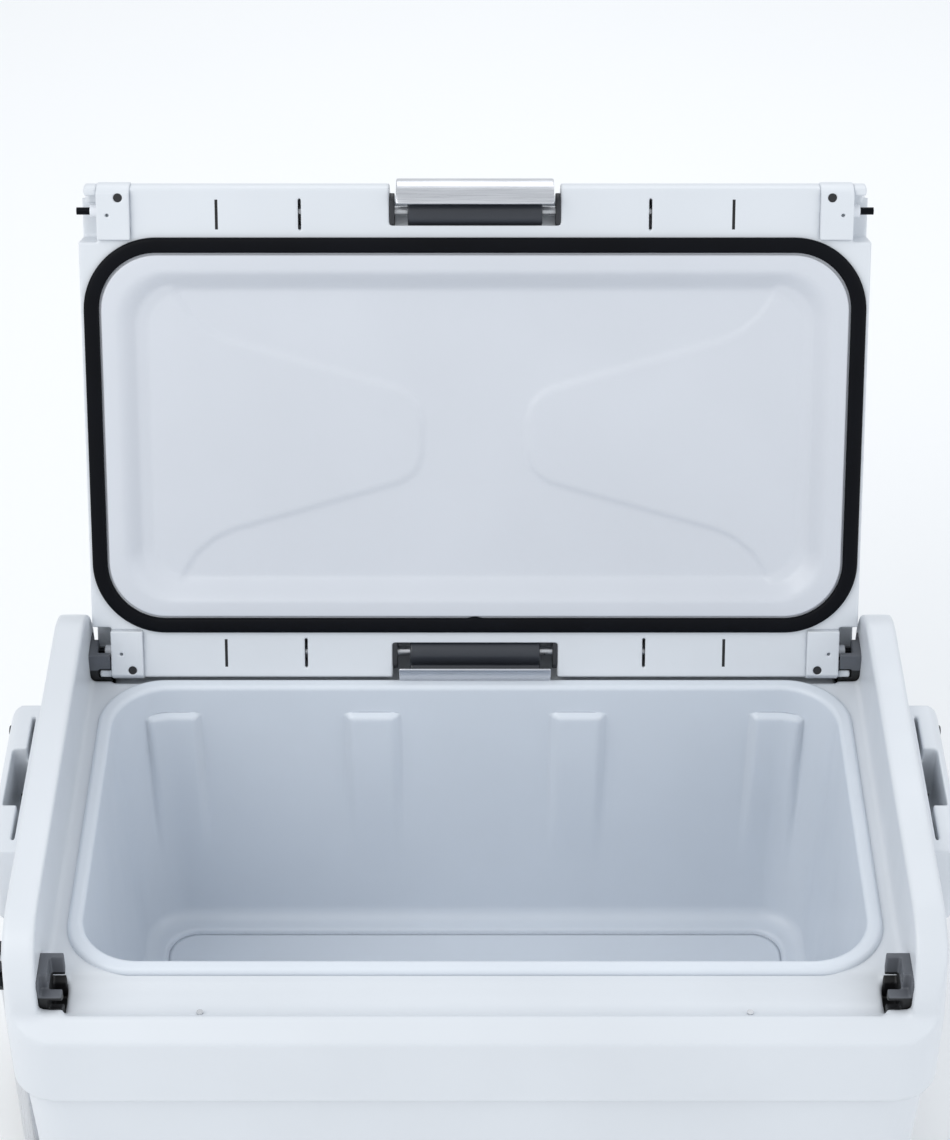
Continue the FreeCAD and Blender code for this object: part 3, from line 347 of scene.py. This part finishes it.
def skin(name, rings, closed=False):
    """Quads between rings of equal length; closed joins the last ring to the first."""
    count = len(rings[0])
    pairs = [(i, i + 1) for i in range(len(rings) - 1)]
    if closed:
        pairs.append((len(rings) - 1, 0))
    faces = []
    for low, high in pairs:
        for step in range(count):
            after = (step + 1) % count
            faces.append((low * count + step, low * count + after, high * count + after, high * count + step))
    return mesh_object(name, np.concatenate(rings), faces)


def finished(obj, node, body, slot):
    """Material, body, slot and CAD node of a piece built here."""
    dress(obj, slot)
    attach(obj, body)
    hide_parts(node)
    return obj


def smoothstep(value, start, end):
    share = np.clip((value - start) / (end - start), 0, 1)
    return share * share * (3 - 2 * share)


def arc(centre, radius, start, end, steps):
    """(across, height) points on an arc, angles in degrees."""
    angles = np.radians(np.linspace(start, end, steps))
    return [(centre[0] + radius * math.cos(a), centre[1] + radius * math.sin(a)) for a in angles]


# ---------------------------------------------------------------- tub

def tub():
    """Basin with a rolled bead, fading pilasters on the long walls and a stepped floor."""
    low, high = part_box("inner_liner")
    bead, bead_high, skin_thick = 7 * MM, 1.5 * MM, 3 * MM
    mouth = np.array((high.x - bead, high.y - bead, 48 * MM))
    rim = high.z - bead_high
    ledge = low.z + skin_thick + 4 * MM
    lean = 11 * MM / (rim - low.z - skin_thick)
    bend = 14 * MM
    counts = (150, 76, 22)

    def outline(inset, height):
        """A ring inside the mouth by inset; its corners get tighter slowly."""
        corner = mouth[2] - (0.7 if 0 < inset < 40 * MM else 0.25) * inset
        corner = min(corner, mouth[1] - inset)
        ring = rounded_ring(mouth[0] - inset, mouth[1] - inset, corner, counts)
        return np.column_stack((ring, np.full(len(ring), height)))

    profile = [(-bead, rim - 2 * MM), (-bead, rim + 0.4 * MM)]
    profile += arc((-bead + 1.1 * MM, rim + 0.4 * MM), 1.1 * MM, 180, 90, 5)[1:]
    profile += [(-bead * 0.6, rim + bead_high), (-bead * 0.35, rim + bead_high)]
    profile += arc((-1.6 * MM, rim - 0.1 * MM), 1.6 * MM, 90, 0, 6)
    wall_low = ledge + bend
    heights = [rim - 2 * MM, rim - 8 * MM, rim - 15 * MM, rim - 19 * MM]
    heights += list(np.arange(rim - 21 * MM, rim - 28 * MM, -0.8 * MM))
    heights += list(np.linspace(rim - 30 * MM, wall_low + 2 * MM, 34))
    profile += [((rim - height) * lean, height) for height in heights]
    foot = (rim - wall_low) * lean
    profile += arc((foot + bend, wall_low), bend, 180, 270, 9)
    edge = foot + 19 * MM
    profile += [(edge - 3 * MM, ledge), (edge - 1.2 * MM, ledge)]
    profile += arc((edge - 1.0 * MM, ledge - 1.4 * MM), 1.4 * MM, 90, 0, 5)
    profile += arc((edge + 2.6 * MM, ledge - 2.6 * MM), 1.4 * MM, 180, 270, 5)
    inner = mouth[1] - edge
    profile += [(edge + inner * share, ledge - 4 * MM) for share in np.linspace(0.05, 1, 22)]
    rings = []
    for inset, height in profile:
        ring = outline(min(inset, mouth[1]), height)
        across = np.abs(ring[:, 0])
        near, far = 65 * MM, 231 * MM
        wide, soft = 43 * MM, 3.5 * MM
        raised = sum(smoothstep(across, start, start + soft)
                     - smoothstep(across, start + wide - soft, start + wide) for start in (near, far))
        on_wall = smoothstep(np.abs(ring[:, 1]), mouth[1] - 26 * MM, mouth[1] - 18 * MM)
        fade = smoothstep(height, 120 * MM, rim - 60 * MM)
        fade *= 1 - smoothstep(height, rim - 27 * MM, rim - 23.5 * MM)
        ring[:, 1] -= np.sign(ring[:, 1]) * raised * on_wall * fade * 5.5 * MM
        rings.append(ring)
    obj = clean(skin("tub", rings), flip=True)
    shell = obj.modifiers.new("wall", "SOLIDIFY")
    shell.thickness = 2.4 * MM
    shell.offset = -1
    return finished(obj, "inner_liner", "body", "white_liner")


# ---------------------------------------------------------------- lid panel and gasket

# One quarter of a side pad's edge, from the panel's middle line outwards, in millimetres.
PAD_EDGE = ((43, 0), (43, 14), (46, 26), (52.5, 34), (62, 39.6), (118, 56), (200, 79.5), (215, 86.5),
            (231, 100), (240, 114), (244, 124), (246, 160))


def bow_tie(across, along):
    """How far a point of the tray lies inside one of the two side pads, in metres."""
    points = [Vector(point) * MM for point in PAD_EDGE]
    across, along = np.abs(across), np.abs(along)
    away = np.full(len(across), 1.0)
    for first, second in zip(points, points[1:]):
        run = second - first
        share = ((across - first.x) * run.x + (along - first.y) * run.y) / run.length_squared
        share = np.clip(share, 0, 1)
        gap = np.hypot(across - first.x - share * run.x, along - first.y - share * run.y)
        away = np.minimum(away, gap)
    edge = np.interp(across, [point.x for point in points], [point.y for point in points])
    inside = (across > points[0].x) & (along < edge)
    return np.where(inside, away, -away)


def lid_panel():
    """Inner panel of the lid: flange, raised border, a sunk tray and two low side pads."""
    low, high = shut_box("lid_liner")
    ridge = 3 * MM
    seat = low.z + ridge
    deep = 14 * MM
    counts = (150, 76, 20)
    stations = [((high.x, high.y, 57 * MM), seat), ((302.6 * MM, 151.6 * MM, 47 * MM), seat),
                ((301.8 * MM, 150.8 * MM, 46.4 * MM), seat - 0.6 * MM),
                ((301.6 * MM, 150.6 * MM, 46.2 * MM), low.z + 1.2 * MM)]
    for step in range(1, 6):
        turn = step / 5 * math.pi / 2
        inset = 1.6 * MM * (1 - math.cos(turn))
        stations.append(((301.6 * MM - inset, 150.6 * MM - inset, 46.2 * MM - inset),
                         low.z + 1.2 * MM * (1 - math.sin(turn))))
    brow, tray = np.array((291, 139.5, 41)) * MM, np.array((264, 118, 30)) * MM
    for share in np.linspace(0, 1, 22):
        stations.append((brow + (tray - brow) * share, low.z + deep * smoothstep(share, 0, 1)))
    for inset in np.linspace(0, tray[1], 44)[1:]:
        corner = min(tray[2] - inset * 0.2, tray[1] - inset)
        stations.append(((tray[0] - inset, tray[1] - inset, corner), low.z + deep))
    rings = []
    for size, height in stations:
        ring = rounded_ring(*size, counts)
        rise = np.zeros(len(ring))
        if height > low.z + 0.6 * deep:
            settled = smoothstep(height, low.z + 0.6 * deep, low.z + deep)
            rise = smoothstep(bow_tie(ring[:, 0], ring[:, 1]), -3 * MM, 3 * MM) * 1.8 * MM * settled
        rings.append(np.column_stack((ring, height - rise)))
    obj = clean(skin("lid_panel", rings))
    obj.data.transform(OPENED)
    shell = obj.modifiers.new("wall", "SOLIDIFY")
    shell.thickness = 2.0 * MM
    shell.offset = 1
    return finished(obj, "lid_liner", "lid", "lid_panel")


def gasket():
    """Soft seal with a crowned face, run round the panel, with one small joint tab."""
    low, high = shut_box("lid_gasket")
    half = 6.1 * MM
    edge = 0.5 * MM
    middle = np.array((high.x - half - edge, high.y - half - edge, 60 * MM - half - edge))
    tall = high.z - low.z
    section = [(-half, 0), (-half, 0.55 * tall)]
    crown = ((0.93, 0.80), (0.75, 0.93), (0.4, 0.99), (0, 1))
    section += [(-half * across, height * tall) for across, height in crown]
    section += [(-across, height) for across, height in reversed(section[:-1])]
    rings = []
    for across, height in section:
        size = middle + across
        ring = rounded_ring(*size, (150, 76, 26))
        if across < 0:
            tab = np.exp(-(ring[:, 0] / (3 * MM)) ** 2) * (ring[:, 1] > 0)
            ring[:, 1] -= tab * 2.2 * MM * smoothstep(-across / half, 0.2, 0.9)
        rings.append(np.column_stack((ring, np.full(len(ring), high.z - height))))
    obj = clean(skin("gasket", rings, closed=True))
    obj.data.transform(OPENED)
    return finished(obj, "lid_gasket", "lid", "gasket_black")


# ---------------------------------------------------------------- lever plates

def lever_plate(side):
    """Bent metal plate of a lever, with all its edges rounded over."""
    low, high = shut_box(f"lever_plate_{side}")
    facing = -1 if side == "front" else 1
    middle, half = 24.9 * MM, 1.05 * MM
    first, last = -70, 34                   # degrees about the pin, 0 outwards
    edge, tip = 1.6 * MM, 2.4               # rounding of the ends (mm) and of the long edges (degrees)
    around_tip = np.linspace(0.3, 2.8, 6)
    rings = []
    insets = [edge * (1 - math.cos(turn)) for turn in np.linspace(math.pi / 2, 0, 6)]
    stations = [(low.x + edge * share, inset) for share, inset in zip((0, 0.04, 0.16, 0.38, 0.68, 1), insets)]
    stations += [(x, 0) for x in np.linspace(low.x, high.x, 40)[2:-2]]
    stations += [(low.x + high.x - x, inset) for x, inset in reversed(stations[:6])]
    for x, inset in stations:
        thick = half * (1 - 0.75 * inset / edge)
        narrower = math.degrees(inset / middle)
        start, end = first + narrower + tip, last - narrower - tip
        section = [(middle + thick, turn) for turn in np.linspace(start, end, 44)]
        section += [(middle + thick * math.cos(a), end + tip * math.sin(a)) for a in around_tip]
        section += [(middle - thick, turn) for turn in np.linspace(end, start, 44)]
        section += [(middle - thick * math.cos(a), start - tip * math.sin(a)) for a in around_tip]
        ring = [(x, facing * (PIN.y + radius * math.cos(math.radians(turn))),
                 PIN.z + radius * math.sin(math.radians(turn))) for radius, turn in section]
        rings.append(np.array(ring))
    obj = clean(skin(f"plate_{side}", rings), capped=True)
    obj.data.transform(OPENED)
    return finished(obj, f"lever_plate_{side}", f"lever_{side}", "brushed_plate")


# ---------------------------------------------------------------- turned pieces

def lathe(name, profile, centre, steps, dent=None):
    """A closed profile of (radius, along) points turned about a line along y. dent(angle,
    along, radius) gives the cut into the surface at a point."""
    rings = []
    for radius, along in profile:
        ring = []
        for step in range(steps):
            angle = TURN * step / steps
            out = radius - (dent(angle, along, radius) if dent else 0)
            across, up = out * math.cos(angle), out * math.sin(angle)
            ring.append((centre.x + across, centre.y + along, centre.z + up))
        rings.append(np.array(ring))
    return clean(skin(name, rings, closed=True))


def resampled(points, step):
    """The same outline with points added so that none are further apart than step."""
    out = []
    for first, second in zip(points, points[1:] + points[:1]):
        pieces = max(1, math.ceil(math.dist(first, second) / step))
        start, run = np.array(first), np.array(second) - np.array(first)
        out += [tuple(start + run * i / pieces) for i in range(pieces)]
    return out


def tyre(side):
    """Tyre with two grooves round it and slanted lugs at both shoulders."""
    low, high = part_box(f"tyre_{side}")
    centre = (low + high) / 2
    outer, half = (high.z - low.z) / 2, (high.y - low.y) / 2
    lugs = 30

    def tread(angle, along, radius):
        if radius < outer - 6 * MM:
            return 0
        share = smoothstep(radius, outer - 6 * MM, outer - 2.5 * MM)
        ring_cut = max(0, 1 - abs(abs(along) - 5 * MM) / (1.3 * MM))
        phase = (angle * lugs / TURN + abs(along) * 45) % 1
        lug_cut = max(0, 1 - abs(phase - 0.5) / 0.14) if abs(along) > 7 * MM else 0
        return share * 1.8 * MM * min(1, 1.6 * max(ring_cut, lug_cut))

    profile = [(52 * MM, -half * 0.8), (56 * MM, -half * 0.9), (62 * MM, -half), (68 * MM, -half * 0.99)]
    profile += [(71.5 * MM, -half * 0.92), (outer - 1.2 * MM, -half * 0.76), (outer, -half * 0.5)]
    profile += [(radius, -along) for radius, along in reversed(profile)]
    obj = lathe(f"tread_{side}", resampled(profile, 1.1 * MM), centre, 360, tread)
    return finished(obj, f"tyre_{side}", f"wheel_{side}", "tyre_rubber")


def grip(node, body, piece, bore):
    """Rubber sleeve with finger ribs and a rolled lip at each end."""
    low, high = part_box(node)
    centre = (low + high) / 2
    outer, half = (high.z - low.z) / 2, (high.y - low.y) / 2

    def ribs(angle, along, radius):
        if radius < outer - 3 * MM or abs(along) > half - 6 * MM:
            return 0
        return 0.5 * MM * (1 - math.cos(TURN * along / (5 * MM)))

    lip = 1.5 * MM
    profile = [(bore, -half), (outer - lip, -half)] + arc((-half + lip, outer - lip), lip, 180, 90, 5)[1:]
    profile = profile[:2] + [(radius, along) for along, radius in profile[2:]]
    profile += [(radius, -along) for radius, along in reversed(profile)]
    obj = lathe(piece, resampled(profile, 0.8 * MM), centre, 64, ribs)
    return finished(obj, node, body, "grip_rubber")


tub()
lid_panel()
gasket()
for side in ("front", "rear"):
    lever_plate(side)
for side in ("front", "back"):
    tyre(side)
for side in ("left", "right"):
    grip(f"carry_grip_{side}", f"carry_{side}", f"carry_sleeve_{side}", 7.1 * MM)
grip("tow_grip", "tow_handle", "tow_sleeve", 7.5 * MM)


# ---------------------------------------------------------------- floor, light and camera

def stage():
    floor = mesh_object("floor", [(-6, -6, 0), (6, -6, 0), (6, 6, 0), (-6, 6, 0)], [(0, 1, 2, 3)])
    finish = Finish("floor_white", Roughness=0.9)
    finish.feed("Base Color", finish.tint(finish.noise(2, 2), (0.93, 0.935, 0.94), (0.95, 0.952, 0.955)))
    floor.data.materials.append(finish.material)


def area_light(name, place, aim, size, watts, color):
    lamp = bpy.data.lights.new(name, "AREA")
    lamp.shape = "RECTANGLE"
    lamp.size, lamp.size_y = size
    lamp.energy = watts
    lamp.color = color
    obj = bpy.data.objects.new(name, lamp)
    bpy.context.scene.collection.objects.link(obj)
    obj.location = place
    obj.rotation_euler = (Vector(aim) - Vector(place)).to_track_quat("-Z", "Y").to_euler()


def light_and_camera():
    scene = bpy.context.scene
    scene.view_settings.view_transform = "Standard"
    world = bpy.data.worlds.new("studio")
    world.use_nodes = True
    sky = world.node_tree.nodes["Background"]
    sky.inputs["Color"].default_value = (0.93, 0.965, 1.0, 1)
    sky.inputs["Strength"].default_value = 0.80
    scene.world = world
    area_light("key", (-1.5, -1.0, 2.3), (0, 0.05, 0.35), (1.8, 1.8), 24, (1.0, 0.99, 0.97))
    area_light("fill", (1.8, -1.2, 1.6), (0, 0.05, 0.35), (1.6, 1.6), 9, (0.95, 0.97, 1.0))
    area_light("back", (0.3, 2.0, 1.9), (0, 0.1, 0.4), (2.0, 1.0), 10, (0.97, 0.98, 1.0))
    camera = bpy.data.cameras.new("camera")
    camera.sensor_width = 36
    camera.lens = 89.46
    eye = bpy.data.objects.new("camera", camera)
    eye.location = (0, -1.6107, 1.8896)
    eye.rotation_euler = (math.radians(50.83), 0, 0)
    scene.collection.objects.link(eye)
    scene.camera = eye


stage()
light_and_camera()
